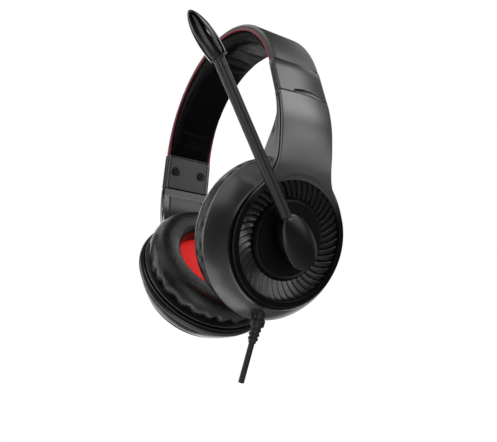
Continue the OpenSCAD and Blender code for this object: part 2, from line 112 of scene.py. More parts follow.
def loft(rings, closed=True, cap=(False, False), loop=False):
    """Faces between rings of equal length.

    closed joins each ring's ends, loop joins the last ring to the first.
    """
    n = len(rings[0])
    verts = [Vector(p) for r in rings for p in r]
    faces = []
    spans = len(rings) if loop else len(rings) - 1
    for i in range(spans):
        a, b = i * n, ((i + 1) % len(rings)) * n
        for j in range(n if closed else n - 1):
            k = (j + 1) % n
            faces.append((a + j, a + k, b + k, b + j))
    if cap[0]:
        faces.append(tuple(reversed(range(n))))
    if cap[1]:
        last = (len(rings) - 1) * n
        faces.append(tuple(range(last, last + n)))
    return verts, faces


def join(*parts):
    """Several shapes as one."""
    verts, faces = [], []
    for v, f in parts:
        base = len(verts)
        verts += v
        faces += [tuple(i + base for i in face) for face in f]
    return verts, faces


def circle(r, z, n):
    return [(r * math.cos(2 * math.pi * k / n), r * math.sin(2 * math.pi * k / n), z) for k in range(n)]


def revolve(profile, n=96):
    """A closed profile of (radius, height) turned about z."""
    return loft([circle(r, z, n) for r, z in profile], loop=True)


def new_mesh(name, geo):
    verts, faces = geo
    mesh = bpy.data.meshes.new(name)
    mesh.from_pydata([tuple(v) for v in verts], [], faces)
    return mesh


def new_object(name, mesh):
    obj = bpy.data.objects.new(name, mesh)
    bpy.context.scene.collection.objects.link(obj)
    return obj


def make(name, geo, mat, body, matrix, mirror=False, stands=(), slot=None, sharp=35):
    """One visible piece: welds the shape, places it, and hides the CAD nodes that it stands for."""
    mesh = new_mesh(name, geo)
    bm = bmesh.new()
    bm.from_mesh(mesh)
    bmesh.ops.remove_doubles(bm, verts=bm.verts, dist=WELD)
    bmesh.ops.dissolve_degenerate(bm, edges=bm.edges, dist=WELD)
    bmesh.ops.recalc_face_normals(bm, faces=bm.faces)
    bm.transform((MIRROR if mirror else Matrix.Identity(4)) @ matrix)
    if mirror:
        bmesh.ops.reverse_faces(bm, faces=bm.faces)
    bm.to_mesh(mesh)
    bm.free()
    for p in mesh.polygons:
        p.use_smooth = True
    mesh.set_sharp_from_angle(angle=math.radians(sharp))
    obj = new_object(name + "_skin", mesh)
    mesh.materials.append(mat)
    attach(obj, body)
    if stands:
        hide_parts(*stands)
    return obj


def apply_modifiers(obj):
    graph = bpy.context.evaluated_depsgraph_get()
    mesh = bpy.data.meshes.new_from_object(obj.evaluated_get(graph))
    obj.modifiers.clear()
    old = obj.data
    obj.data = mesh
    bpy.data.meshes.remove(old)


def pair(name, geo, mat, matrix, nodes=(), body=None, **kw):
    """The same shape on the left and, mirrored, on the right."""
    made = []
    for side in ("left", "right"):
        stands = tuple(f"{n}_{side}" for n in nodes)
        made.append(make(f"{name}_{side}", geo, mat, body or BODY[side], matrix, mirror=side == "right",
                         stands=stands, **kw))
    return made


def mix(a, b, t):
    return a + (b - a) * t


def smooth(t):
    t = min(max(t, 0), 1)
    return t * t * (3 - 2 * t)


def bezier(p0, p1, p2, t):
    return p0 * (1 - t) ** 2 + p1 * 2 * t * (1 - t) + p2 * t * t


# ---------------------------------------------------------------- materials
def new_material(name):
    mat = bpy.data.materials.new(name)
    mat.use_nodes = True
    nt = mat.node_tree
    bsdf = nt.nodes["Principled BSDF"]
    coord = nt.nodes.new("ShaderNodeTexCoord")
    return mat, nt, bsdf, coord.outputs["Object"]


def tex(nt, kind, coord, **values):
    node = nt.nodes.new("ShaderNodeTex" + kind)
    for key, value in values.items():
        if key in node.inputs:
            node.inputs[key].default_value = value
        else:
            setattr(node, key, value)
    nt.links.new(coord, node.inputs["Vector"])
    return node


def ramp(nt, fac, stops):
    node = nt.nodes.new("ShaderNodeValToRGB")
    while len(node.color_ramp.elements) < len(stops):
        node.color_ramp.elements.new(0.5)
    for element, (pos, value) in zip(node.color_ramp.elements, stops):
        element.position = pos
        element.color = (value, value, value, 1) if isinstance(value, (int, float)) else (*value, 1)
    nt.links.new(fac, node.inputs["Fac"])
    return node.outputs["Color"]


def bump(nt, height, strength, distance, normal=None):
    node = nt.nodes.new("ShaderNodeBump")
    node.inputs["Strength"].default_value = strength
    node.inputs["Distance"].default_value = distance
    nt.links.new(height, node.inputs["Height"])
    if normal:
        nt.links.new(normal, node.inputs["Normal"])
    return node.outputs["Normal"]


def grey(v):
    return (v, v, v)


def mixed(nt, factor, a, b):
    """Blends two colours; each is a socket or a tuple."""
    node = nt.nodes.new("ShaderNodeMix")
    node.data_type = "RGBA"
    nt.links.new(factor, node.inputs["Factor"])
    for name, colour in (("A", a), ("B", b)):
        if isinstance(colour, tuple):
            node.inputs[name].default_value = (*colour, 1)
        else:
            nt.links.new(colour, node.inputs[name])
    return node.outputs["Result"]


def plastic(name, colour, rough, grain=1.0, grain_scale=2600, sheen=0.0, spec=0.5, wear=0.0):
    """Moulded plastic: fine spark-eroded grain, patchy roughness, edges lightened partly by handling wear and
    partly as a painted highlight.
    """
    mat, nt, bsdf, coord = new_material(name)
    patches = tex(nt, "Noise", coord, Scale=38, Detail=5, Roughness=0.6)
    fine = tex(nt, "Noise", coord, Scale=grain_scale, Detail=2)
    shades = [(0.3, [c * 0.94 for c in colour]), (0.7, [c * 1.06 for c in colour])]
    col = ramp(nt, patches.outputs["Fac"], shades)
    # Edge lightening: partly handling wear, partly a painted highlight where edges catch the light
    if wear:
        geo = nt.nodes.new("ShaderNodeNewGeometry")
        edge = ramp(nt, geo.outputs["Pointiness"], [(0.515, 0.0), (0.58, 1.0)])
        col = mixed(nt, edge, col, tuple(min(c * (1 + wear), 1) for c in colour))
    nt.links.new(col, bsdf.inputs["Base Color"])
    nt.links.new(ramp(nt, patches.outputs["Fac"], [(0.25, rough - 0.012), (0.75, rough + 0.018)]),
                 bsdf.inputs["Roughness"])
    nt.links.new(bump(nt, fine.outputs["Fac"], 0.25 * grain, 0.00012), bsdf.inputs["Normal"])
    bsdf.inputs["Specular IOR Level"].default_value = spec
    bsdf.inputs["Sheen Weight"].default_value = sheen
    return mat


def painted_shade_fade(mat, axis, start, end, dark, shine):
    """Paints shade: fades a plastic from dark at start to its own colour at end, and its specular level by
    shine.

    start and end are in mm from the cup's middle along axis; the right cup mirrors the left.
    """
    nt = mat.node_tree
    bsdf = nt.nodes["Principled BSDF"]
    coord = nt.nodes["Texture Coordinate"].outputs["Object"]
    source = bsdf.inputs["Base Color"].links[0].from_socket
    split = nt.nodes.new("ShaderNodeSeparateXYZ")
    nt.links.new(coord, split.inputs["Vector"])
    side = nt.nodes.new("ShaderNodeMath")
    side.operation = "ABSOLUTE"
    nt.links.new(split.outputs["X"], side.inputs[0])
    joined = nt.nodes.new("ShaderNodeCombineXYZ")
    nt.links.new(side.outputs[0], joined.inputs["X"])
    nt.links.new(split.outputs["Y"], joined.inputs["Y"])
    nt.links.new(split.outputs["Z"], joined.inputs["Z"])
    dot = nt.nodes.new("ShaderNodeVectorMath")
    dot.operation = "DOT_PRODUCT"
    nt.links.new(joined.outputs[0], dot.inputs[0])
    dot.inputs[1].default_value = axis
    height = nt.nodes.new("ShaderNodeMapRange")
    height.interpolation_type = "SMOOTHSTEP"
    base = CUP_C.dot(axis)
    height.inputs["From Min"].default_value = base + start * MM
    height.inputs["From Max"].default_value = base + end * MM
    nt.links.new(dot.outputs["Value"], height.inputs["Value"])
    nt.links.new(mixed(nt, height.outputs["Result"], dark, source), bsdf.inputs["Base Color"])
    gloss = nt.nodes.new("ShaderNodeMapRange")
    gloss.inputs["To Min"].default_value = shine[0]
    gloss.inputs["To Max"].default_value = shine[1]
    nt.links.new(height.outputs["Result"], gloss.inputs["Value"])
    nt.links.new(gloss.outputs["Result"], bsdf.inputs["Specular IOR Level"])
    return mat


def leather(name, colour, rough, spec=0.45):
    """Leatherette: pebbled grain in two sizes, shallow creases, a soft uneven sheen."""
    mat, nt, bsdf, coord = new_material(name)
    warp = tex(nt, "Noise", coord, Scale=160, Detail=3)
    cells = tex(nt, "Voronoi", coord, Scale=900, Randomness=1.0)
    creases = tex(nt, "Noise", coord, Scale=75, Detail=6, Roughness=0.62, Distortion=0.4)
    shades = [(0.3, [c * 0.75 for c in colour]), (0.7, [c * 1.25 for c in colour])]
    col = ramp(nt, creases.outputs["Fac"], shades)
    nt.links.new(col, bsdf.inputs["Base Color"])
    sheen = ramp(nt, warp.outputs["Fac"], [(0.3, rough - 0.07), (0.7, rough + 0.1)])
    nt.links.new(sheen, bsdf.inputs["Roughness"])
    first = bump(nt, cells.outputs["Distance"], 0.5, 0.00016)
    second = bump(nt, creases.outputs["Fac"], 0.35, 0.0006, first)
    nt.links.new(second, bsdf.inputs["Normal"])
    bsdf.inputs["Specular IOR Level"].default_value = spec
    return mat


def metal(name, colour, rough):
    """Brushed metal: fine lines drawn out along one direction."""
    mat, nt, bsdf, coord = new_material(name)
    mapping = nt.nodes.new("ShaderNodeMapping")
    mapping.inputs["Scale"].default_value = (1, 1, 30)
    nt.links.new(coord, mapping.inputs["Vector"])
    lines = tex(nt, "Noise", mapping.outputs["Vector"], Scale=300, Detail=4)
    col = ramp(nt, lines.outputs["Fac"], [(0.3, [c * 0.85 for c in colour]), (0.7, colour)])
    nt.links.new(col, bsdf.inputs["Base Color"])
    polish = ramp(nt, lines.outputs["Fac"], [(0.2, rough - 0.06), (0.8, rough + 0.1)])
    nt.links.new(polish, bsdf.inputs["Roughness"])
    nt.links.new(bump(nt, lines.outputs["Fac"], 0.2, 0.00005), bsdf.inputs["Normal"])
    bsdf.inputs["Metallic"].default_value = 1
    return mat


def cloth(name, colour, emission):
    """Open weave: two crossed sets of ribs over a darker ground, glowing a little in its own colour as
    painted light.
    """
    mat, nt, bsdf, coord = new_material(name)
    heights = []
    for direction in ("X", "Z"):
        mapping = nt.nodes.new("ShaderNodeMapping")
        mapping.inputs["Rotation"].default_value = (0, 0.7, 0)
        nt.links.new(coord, mapping.inputs["Vector"])
        wave = tex(nt, "Wave", mapping.outputs["Vector"], Scale=900, Distortion=0.4,
                   bands_direction=direction)
        heights.append(wave.outputs["Fac"])
    both = nt.nodes.new("ShaderNodeMath")
    both.operation = "MULTIPLY"
    nt.links.new(heights[0], both.inputs[0])
    nt.links.new(heights[1], both.inputs[1])
    col = ramp(nt, both.outputs[0], [(0.1, [c * 0.75 for c in colour]), (0.6, colour)])
    nt.links.new(col, bsdf.inputs["Base Color"])
    nt.links.new(bump(nt, both.outputs[0], 0.4, 0.0001), bsdf.inputs["Normal"])
    bsdf.inputs["Roughness"].default_value = 0.8
    bsdf.inputs["Sheen Weight"].default_value = 0.3
    # Painted light: the cloth glows in its own colour though it is no lamp
    bsdf.inputs["Emission Color"].default_value = (*colour, 1)
    bsdf.inputs["Emission Strength"].default_value = emission
    return mat


# The second colour here is painted shade for the face's rim and the housing's shoulder, not the plastic's own
# colour
SHELL_GREY, RIM_PAINTED_SHADE = grey(0.021), grey(0.003)
SHELL = plastic("shell_satin", SHELL_GREY, 0.26, grain=0.6, spec=0.7, wear=0.5)
# The face's rim is painted black at the bottom as shade, where it faces away from the light, and turns grey
# towards the arm; the housing's flat shoulder is painted black with it, also as shade
FACE = painted_shade_fade(plastic("face_satin", grey(0.036), 0.28, grain=0.6, wear=0.5),
                UP, 13, 36, RIM_PAINTED_SHADE, (0.14, 0.95))
HOUSING = painted_shade_fade(plastic("housing_satin", SHELL_GREY, 0.26, grain=0.6, spec=0.7, wear=0.5),
                   AXIS_N, CUP_H - FACE_T - 0.3, CUP_H - FACE_T - 0.9, RIM_PAINTED_SHADE, (0.14, 0.7))
COVER = plastic("cover_soft_touch", grey(0.022), 0.38, grain=1.2, grain_scale=1800, sheen=0.05, spec=0.7)
INNER = plastic("inner_plastic", grey(0.012), 0.36, wear=0.3)
# The hub's strong edge lightening is a painted highlight on its chamfer
HUB = plastic("hub_black", grey(0.0015), 0.34, grain=0.6, spec=0.24, wear=1.0)
FINS = plastic("fin_grey", grey(0.022), 0.24, grain=0.4, spec=0.75, wear=0.5)
FLOOR_BLACK = plastic("fin_floor_black", grey(0.002), 0.6, spec=0.1)
BLACK = plastic("trim_black", grey(0.004), 0.4, spec=0.35)
BOSS = plastic("boss_satin", grey(0.005), 0.27, grain=0.6, spec=0.42, wear=0.3)
BOOM = plastic("boom_black", grey(0.007), 0.4, grain=0.5, spec=0.6)
GLOSS = plastic("capsule_gloss", grey(0.001), 0.12, grain=0.1, spec=0.5)
RUBBER = plastic("rubber_black", grey(0.005), 0.5, grain=1.2)
PIPING = plastic("piping_red", (0.2, 0.018, 0.03), 0.5, grain=0.8)
LEATHER = leather("leatherette_black", grey(0.001), rough=0.42, spec=0.08)
PAD_LEATHER = leather("pad_leatherette", grey(0.006), rough=0.34)
STEEL = metal("steel_brushed", grey(0.55), 0.32)
SCREW = plastic("screw_black", grey(0.002), 0.45, spec=0.2)
ALU = metal("aluminium_satin", grey(0.7), 0.35)
CONE = plastic("cone_film", (0.42, 0.3, 0.17), 0.3)
RED_CLOTH = cloth("speaker_cloth_red", (0.86, 0.02, 0.018), emission=0.42)

# CAD nodes that stay in view as they are
NODE_MATS = {
    "spring_band": STEEL, "slider_bar": STEEL, "sleeve_screws": SCREW, "cup_screws": SCREW, "baffle": BLACK,
    "driver_frame": BLACK, "driver_magnet": STEEL, "driver_cone": CONE, "mic_shaft": STEEL, "mic_clip": STEEL,
    "mic_washer": STEEL, "mic_element": ALU,
}
for node_name, node_obj in frame["nodes"].items():
    stem = node_name.replace("_left", "").replace("_right", "")
    node_obj.data.materials.clear()
    node_obj.data.materials.append(NODE_MATS.get(stem, INNER))


# ---------------------------------------------------------------- headband
def arch_point(r, y, a):
    """A point of the headband's arch: radius, depth from front to back, and angle from the crown."""
    return Vector((r * math.sin(a), y, ARCH_Z + r * math.cos(a)))


def arch_sweep(section, reach=SLEEVE_A, steps=96):
    """Sweeps a closed section of (radius, y) along the arch, reach to each side of the crown.

    The section may be a function of the angle.
    """
    rings = []
    for i in range(steps + 1):
        a = mix(-reach, reach, i / steps)
        pts = section(a) if callable(section) else section
        rings.append([arch_point(r, y, a) for r, y in pts])
    return loft(rings, cap=(True, True))


def rounded(r0, r1, half, edge_out, edge_in, n):
    """A closed section from radius r0 to r1, half a width, with rounded outer and inner edges."""
    corners = ((r1 - edge_out, half - edge_out, edge_out, 0),
               (r0 + edge_in, half - edge_in, edge_in, 90),
               (r0 + edge_in, -half + edge_in, edge_in, 180),
               (r1 - edge_out, -half + edge_out, edge_out, 270))
    pts = []
    for cx, cy, rad, start in corners:
        for k in range(n + 1):
            t = math.radians(start + 90 * k / n)
            pts.append((cx + rad * math.cos(t), cy + rad * math.sin(t)))
    return pts


COVER_IN = BAND_R - 5.0
CORD_R, CORD_Y = 0.9, BAND_W / 2 - 0.4
make("headband_cover", arch_sweep(rounded(COVER_IN, BAND_R - 0.6, BAND_W / 2, 2.4, 0.5, 8)), COVER,
     "headband", WORLD, stands=("headband_cover",), slot="headband_cover", sharp=60)
cords = [arch_sweep([(COVER_IN + x, s * CORD_Y + y) for x, y, _ in circle(CORD_R, 0, 14)]) for s in (-1, 1)]
make("headband_piping", join(*cords), PIPING, "headband", WORLD, stands=("headband_piping",),
     slot="piping", sharp=80)

# ---------------------------------------------------------------- sleeve
NOTCH_Y, NOTCH_HALF = 2.6, 11.2
SLEEVE_HALF, PLATE_HALF = SLEEVE_W / 2, 16.4
PLATE_SCREW_Y, PLATE_SCREW_Z, RECESS_STEP = 11, 12.7, 0.8


def notch(y, grow=0.0):
    """Height of the thumb notch above the split line at y: a low arch with steep ends."""
    d = abs(y - NOTCH_Y) / (NOTCH_HALF + grow)
    if d >= 1:
        return 0.0
    return (1.9 + grow + 2.3 * (1 - d * d)) * smooth((1 - d) * NOTCH_HALF / 0.9)


def notch_columns():
    """Positions across the width, closer together at the ends of the notch."""
    half = SLEEVE_HALF
    ends = [s * (NOTCH_HALF - d) + NOTCH_Y for s in (-1, 1) for d in (-0.3, 0.0, 0.3, 0.6, 0.9, 1.4)]
    middle = [NOTCH_Y + k * 1.6 for k in range(-5, 6)]
    return sorted([-half + 2.2, -half + 4.5, -half + 7] + ends + middle + [half - 2.2])


def crown(y):
    """Depth of the sleeve's and arm's outer face below a flat one: both are slightly domed."""
    return 1.3 * (y / SLEEVE_HALF) ** 2


def sleeve_section(inset):
    """Closed section of (y, depth from the outer face, weight of the notch).

    At full size it has a fine groove along each side and is hollow where the inner plate goes.
    """
    half, edge, small = SLEEVE_HALF - inset, 2.2 - inset * 0.5, 0.8
    out = [(y, inset + crown(y), 1.0) for y in notch_columns()]
    pts = out[:]
    fall = edge - 1.2
    for k in range(1, 7):
        t = math.radians(90 * k / 6)
        depth = inset + crown(half - edge) + fall * (1 - math.cos(t))
        pts.append((half - edge + edge * math.sin(t), depth, 0.0))
    if inset:
        side = pts[-1][1]
        filled = ((2.45, 0.05), (2.6, 0.1), (2.85, 0.15), (3.0, 0.2))
        pts += [(half, max(d, side + g), 0.0) for d, g in filled]
    else:
        pts += [(half - g, d, 0.0) for d, g in ((2.45, 0), (2.6, 0.3), (2.85, 0.3), (3.0, 0))]
    for k in range(5):
        t = math.radians(90 * k / 4)
        pts.append((half - small + small * math.cos(t), SLEEVE_T - inset - small + small * math.sin(t), 0.0))
    other_side = [(-y, d, 0.0) for y, d, _ in pts[len(out):]]
    sunk, lip = (0, half - 2) if inset else (2.6, PLATE_HALF)
    hollow = ((lip, 0), (lip - 0.1, sunk), (6, sunk), (-6, sunk), (0.1 - lip, sunk), (-lip, 0))
    pts += [(y, SLEEVE_T - inset - d, 0.0) for y, d in hollow]
    return pts + other_side[::-1]


def sleeve_ring(inset, down, with_notch=True):
    """The sleeve's section, inset all round, down mm below its top end."""
    return [(y, -down + (notch(y) * w if with_notch else 0), -d) for y, d, w in sleeve_section(inset)]


sleeve_rings = [
    sleeve_ring(2.2, 0.0, False), sleeve_ring(0.45, 0.0, False), sleeve_ring(0.12, 0.12, False),
    sleeve_ring(0.0, 0.45, False), sleeve_ring(0.0, 8, False), sleeve_ring(0.0, 16, False),
    sleeve_ring(0.0, SLEEVE_LEN - 1.5), sleeve_ring(0.0, SLEEVE_LEN - 0.9),
    sleeve_ring(0.08, SLEEVE_LEN - 0.6), sleeve_ring(0.3, SLEEVE_LEN - 0.45),
    sleeve_ring(1.6, SLEEVE_LEN - 0.45), sleeve_ring(2.2, SLEEVE_LEN - 0.45, False),
]
pair("sleeve_shell", loft(sleeve_rings, cap=(True, True)), SHELL, SLEEVE, ("sleeve_shell",), body="headband",
     slot="shell", sharp=50)


def sleeve_plate():
    """Inner plate of the sleeve with its two stepped recesses, built as a grid with round dimples."""
    half, top, bottom = PLATE_HALF - 0.1, -0.8, -(SLEEVE_LEN - 0.8)
    nx, ny = 120, 92
    face_z = -SLEEVE_T - 0.1
    rows = []
    for j in range(ny + 1):
        y = mix(bottom, top, j / ny)
        row = []
        for i in range(nx + 1):
            x = mix(-half, half, i / nx)
            d = min(math.hypot(x - s * PLATE_SCREW_Y, y + PLATE_SCREW_Z) for s in (-1, 1))
            depth = RECESS_STEP * (2 - smooth((d - 2.9) / 0.8) - smooth((d - 2.2) / 0.3))
            rim = min(half - abs(x), top - y, y - bottom)
            soft = 0.5 * max(0, 1 - rim / 0.5) ** 2
            row.append((x, y, face_z + depth + soft))
        rows.append(row)
    return loft(rows, closed=False)


def with_skirt(geo, depth_z):
    """Closes a height-field patch with walls and a flat back at z = depth_z."""
    verts, faces = geo
    edges = {}
    for f in faces:
        for a, b in zip(f, f[1:] + f[:1]):
            key = (min(a, b), max(a, b))
            edges[key] = edges.get(key, 0) + 1
    border = [e for e, c in edges.items() if c == 1]
    follow = {}
    for a, b in border:
        follow.setdefault(a, []).append(b)
        follow.setdefault(b, []).append(a)
    start = border[0][0]
    order, prev, cur = [start], None, start
    while True:
        nxt = [v for v in follow[cur] if v != prev][0]
        if nxt == start:
            break
        order.append(nxt)
        prev, cur = cur, nxt
    base = len(verts)
    verts = verts + [Vector((verts[i][0], verts[i][1], depth_z)) for i in order]
    n = len(order)
    walls = [(order[k], order[(k + 1) % n], base + (k + 1) % n, base + k) for k in range(n)]
    return verts, faces + walls + [tuple(base + k for k in range(n))]


pair("sleeve_plate", with_skirt(sleeve_plate(), -SLEEVE_T + 1.7), INNER, SLEEVE, ("sleeve_plate",),
     body="headband", slot="inner_trim", sharp=50)

# ---------------------------------------------------------------- arm and cup shells
# BEND is the arm's turn out of the cup's plane, S_END the length along it to the split line.
# The arm's sides widen into the rim by an arc of radius FLARE, between heights FLARE_U and the tangent point.
BEND = (math.pi / 2 + math.atan2(-AXIS_N.z, AXIS_N.x)) - SLEEVE_A
S_END = ARM_REACH + ARM_R * BEND
FLARE = 32.0
FLARE_U = math.sqrt((FLARE + FACE_R) ** 2 - (FLARE + SLEEVE_HALF) ** 2)
FLARE_TURN = math.atan2(FLARE_U, FLARE + SLEEVE_HALF)
TANGENT = math.pi / 2 - FLARE_TURN


def skin(y, s, d):
    """A point d below the outer face; s runs up the arm along the face."""
    d += crown(y) * smooth((s - 40) / 22)
    if s <= ARM_REACH:
        return Vector((y, s, CUP_H - d))
    b = (s - ARM_REACH) / ARM_R
    return Vector((y, ARM_REACH + (ARM_R - d) * math.sin(b), CUP_H - ARM_R + (ARM_R - d) * math.cos(b)))


def boundary():
    """One side of the face's outline, from the bottom up to the split line: (y, s, part)."""
    pts = []
    for k in range(44):
        a = mix(math.pi, TANGENT, k / 44)
        pts.append((FACE_R * math.sin(a), FACE_R * math.cos(a), "rim"))
    for k in range(14):
        t = mix(FLARE_TURN, 0, k / 14)
        pts.append((SLEEVE_HALF + FLARE * (1 - math.cos(t)), FLARE_U - FLARE * math.sin(t), "arm"))
    for k in range(11):
        pts.append((SLEEVE_HALF, mix(FLARE_U, S_END - 0.7, k / 10), "arm"))
    pts.append((SLEEVE_HALF - 0.35, S_END - 0.1, "arm"))
    return pts


BACK_SIDE = boundary()
TOP = [(y, S_END, "split") for y in sorted(set(notch_columns()), reverse=True) if abs(y) < SLEEVE_HALF - 0.9]
FRONT_SIDE = [(-y, s, part) for y, s, part in BACK_SIDE[::-1]][:-1]
OUTLINE = BACK_SIDE + TOP + FRONT_SIDE
# Where each column starts at the hole: the rim keeps its own angle, the arm's columns share what is left
arm_cols = [k for k, p in enumerate(OUTLINE) if p[2] != "rim"]
lengths = [0.0]
for a, b in zip(arm_cols, arm_cols[1:]):
    lengths.append(lengths[-1] + math.dist(OUTLINE[a][:2], OUTLINE[b][:2]))
ANGLE = {}
for k, (y, s, part) in enumerate(OUTLINE):
    if part == "rim":
        ANGLE[k] = math.atan2(y, s)
for k, l in zip(arm_cols, lengths):
    ANGLE[k] = mix(TANGENT, -TANGENT, l / lengths[-1])
COLS = range(len(OUTLINE))


def inward(k, d):
    """Outline point k moved d towards the middle of the face, in the flat layout (y, s)."""
    y, s, part = OUTLINE[k]
    if part == "rim":
        r = (FACE_R - d) / FACE_R
        return y * r, s * r
    if part == "split":
        return y, s - d
    side = 1 if y > 0 else -1
    if s >= FLARE_U:
        return y - side * d, min(s, S_END - d)
    cy = side * (SLEEVE_HALF + FLARE)
    ry, rs = y - cy, s - FLARE_U
    q = (FLARE + d) / math.hypot(ry, rs)
    return cy + ry * q, FLARE_U + rs * q


def tongue(k):
    """How far the tongue that fills the thumb notch rises past the split line at column k."""
    y, _, part = OUTLINE[k]
    return max(notch(y, -0.25) - 0.1, 0.0) if part == "split" else 0.0


def on_hole(k, r, d):
    """Column k's point on the circle of radius r round the fins, d below the face."""
    a = ANGLE[k]
    return skin(r * math.sin(a), r * math.cos(a), d)


def face_rows(r0, inset, d, rows):
    """Rings d deep from the circle r0 out to inset inside the outline, without the last one."""
    out = []
    for i in range(rows):
        t = i / rows
        ring = []
        for k in COLS:
            a = ANGLE[k]
            y0, s0 = r0 * math.sin(a), r0 * math.cos(a)
            y1, s1 = inward(k, inset)
            ring.append(skin(mix(y0, y1, t), mix(s0, s1, t), d))
        out.append(ring)
    return out


def edge_ring(inset, d, lift=1.0):
    """A ring inset from the outline and d deep, raised over the tongue by its height times lift."""
    ring = []
    for k in COLS:
        y, s = inward(k, inset)
        ring.append(skin(y, s + tongue(k) * lift, d))
    return ring


def groove_ring(back, d):
    """The split line carried across the tongue as a fine groove; elsewhere it lies on the rounded edge."""
    ring = []
    for k in COLS:
        if tongue(k) > 1.0:
            y, s = OUTLINE[k][:2]
            ring.append(skin(y, s - back, d))
        else:
            y, s = inward(k, EDGE * 0.85)
            ring.append(skin(y, s, 0.015))
    return ring


EDGE = 0.6
face_rings = [[on_hole(k, HOLE_R, FACE_T) for k in COLS], [on_hole(k, HOLE_R, 0.3) for k in COLS]]
face_rings += face_rows(HOLE_R + 0.3, 1.5, 0.0, 14)
face_rings += [edge_ring(EDGE + 0.5, 0.0, 0.0), edge_ring(EDGE, 0.0, 0.0)]
face_rings += [groove_ring(0.3, 0.0), groove_ring(0.15, 0.7), groove_ring(-0.15, 0.7), groove_ring(-0.3, 0.0)]
face_rings += [edge_ring(EDGE * 0.6, 0.06), edge_ring(EDGE * 0.3, 0.22), edge_ring(EDGE * 0.08, 0.55),
               edge_ring(0.0, 1.0), edge_ring(0.0, 1.5), edge_ring(0.1, FACE_T - 0.35, 0.0),
               edge_ring(0.5, FACE_T, 0.0)]
face_rings += face_rows(HOLE_R, 1.6, FACE_T, 14)[:0:-1]
pair("cup_face", loft(face_rings, loop=True), FACE, CUP, ("cup_face",), slot="shell", sharp=50)

# Inner side of the arm: a saddle that runs from the sleeve down to the rim of the housing base
split_in = skin(0, S_END, SLEEVE_T)
down_in_cup = Vector((0, -math.cos(BEND), math.sin(BEND)))
SADDLE_MID = split_in + down_in_cup * 18
BASE_R, BASE_H = CUP_R - 0.05, 2.0
FOOT_TURN = math.radians(27)
INNER_HALF = SLEEVE_HALF - 1.0


def saddle(v, t, lift=0.0):
    """v across the arm from -1 to 1, t from the split to the base rim."""
    a = v * FOOT_TURN
    foot = Vector((0, BASE_R * math.cos(a), BASE_H))
    p = bezier(split_in, SADDLE_MID, foot, t)
    p.x = mix(v * INNER_HALF, BASE_R * math.sin(a), smooth(t) ** 1.6)
    q = bezier(split_in, SADDLE_MID, foot, t + 0.02)
    n = Vector((0, p.z - q.z, q.y - p.y)).normalized()
    return p + n * lift


# Heights on the face between which the arm's side wall stands on the base circle
S_LOW = FACE_R * math.cos(TANGENT)
S_SADDLE = 44.0


def foot_place(k):
    """Where wall column k stands: (angle on the base circle, None) or (v, t) on the saddle's border."""
    y, s, part = OUTLINE[k]
    side = 1 if y > 0 else -1
    if part == "rim":
        return ANGLE[k], None
    if part == "split":
        return y / SLEEVE_HALF, 0.0
    if s <= S_SADDLE:
        return side * mix(TANGENT, FOOT_TURN, (s - S_LOW) / (S_SADDLE - S_LOW)), None
    return side, max(1 - (s - S_SADDLE) / (S_END - S_SADDLE), 0.0)


def on_base(a, r=BASE_R, h=BASE_H):
    return Vector((r * math.sin(a), r * math.cos(a), h))


saddle_cols = [k for k in COLS if foot_place(k)[1] is not None]
run = [0.0]
for a, b in zip(saddle_cols, saddle_cols[1:]):
    run.append(run[-1] + math.dist(OUTLINE[a][:2], OUTLINE[b][:2]))
FOOT_ANGLE = {k: foot_place(k)[0] for k in COLS}
for k, l in zip(saddle_cols, run):
    FOOT_ANGLE[k] = mix(FOOT_TURN, -FOOT_TURN, l / run[-1])


def ledge(k):
    """Width of the flat shoulder between the face plate's rim and the drum."""
    if OUTLINE[k][2] != "rim":
        return 0.25
    return 0.25 + 1.5 * smooth((abs(ANGLE[k]) - TANGENT) / 0.8)


def wall_ring(out, d, t):
    """A ring of the outer wall: out by a share of the ledge, d deep, then t of the way down."""
    ring = []
    for k in COLS:
        w = ledge(k)
        y, s = inward(k, -w * out if OUTLINE[k][2] != "split" else 0)
        top = skin(y, s, d)
        v, place = foot_place(k)
        foot = saddle(v, place) if place is not None else on_base(v)
        p = top.lerp(foot, t)
        if OUTLINE[k][2] == "rim":
            p += Vector((math.sin(v), math.cos(v), 0.6)) * 2.2 * t * (1 - t)
        elif place is not None and OUTLINE[k][2] == "arm":
            p.x += v * 1.1 * smooth(1 - abs(t - 0.42) / 0.5) * (1 - smooth(place * 1.2 - 0.2))
        ring.append(p)
    return ring


def saddle_row(r):
    """A ring r of the way from the saddle's border down to the base rim."""
    ring = []
    for k in COLS:
        v, t = foot_place(k)
        inner = None if t is None else saddle(mix(v, FOOT_ANGLE[k] / FOOT_TURN, r), mix(t, 1.0, r))
        ring.append(inner or on_base(v))
    return ring


def base_ring(r, h):
    """A ring of radius r at height h round the back of the housing."""
    return [on_base(FOOT_ANGLE[k], r, h) for k in COLS]


housing_rings = face_rows(HOLE_R + 2.3, 0.8, FACE_T + 0.02, 5)
housing_rings += [edge_ring(0.5, FACE_T + 0.02, 0), edge_ring(0.4, FACE_T + 0.05, 0)]
housing_rings += [wall_ring(share, FACE_T + d, 0)
                  for share, d in ((0.1, 0.12), (0.75, 0.14), (0.93, 0.22), (1.0, 0.5))]
housing_rings += [wall_ring(1.0, FACE_T + 0.8, t)
                  for t in (0.05, 0.12, 0.2, 0.28, 0.35, 0.42, 0.5, 0.58, 0.68, 0.78, 0.87, 0.94, 0.98, 1.0)]
housing_rings += [saddle_row(r) for r in (0.03, 0.1, 0.2, 0.32, 0.45, 0.58, 0.7, 0.81, 0.91, 0.97, 1.0)]
housing_rings += [base_ring(CUP_R, 1.4), base_ring(CUP_R - 0.05, 0.6), base_ring(CUP_R - 0.5, 0.0),
                  base_ring(CUP_R - 2.2, 0.0), base_ring(CUP_R - 2.2, 2.0)]
housing_rings += [[on_hole(k, HOLE_R + 2.3, 6.6) for k in COLS]]
pair("cup_housing", loft(housing_rings, loop=True), HOUSING, CUP, ("cup_housing",), slot="shell", sharp=42)


def stops(a, b, edge, n):
    """Even steps from a to b with one narrow step at each end."""
    return [a] + [mix(a + edge, b - edge, k / n) for k in range(n + 1)] + [b]


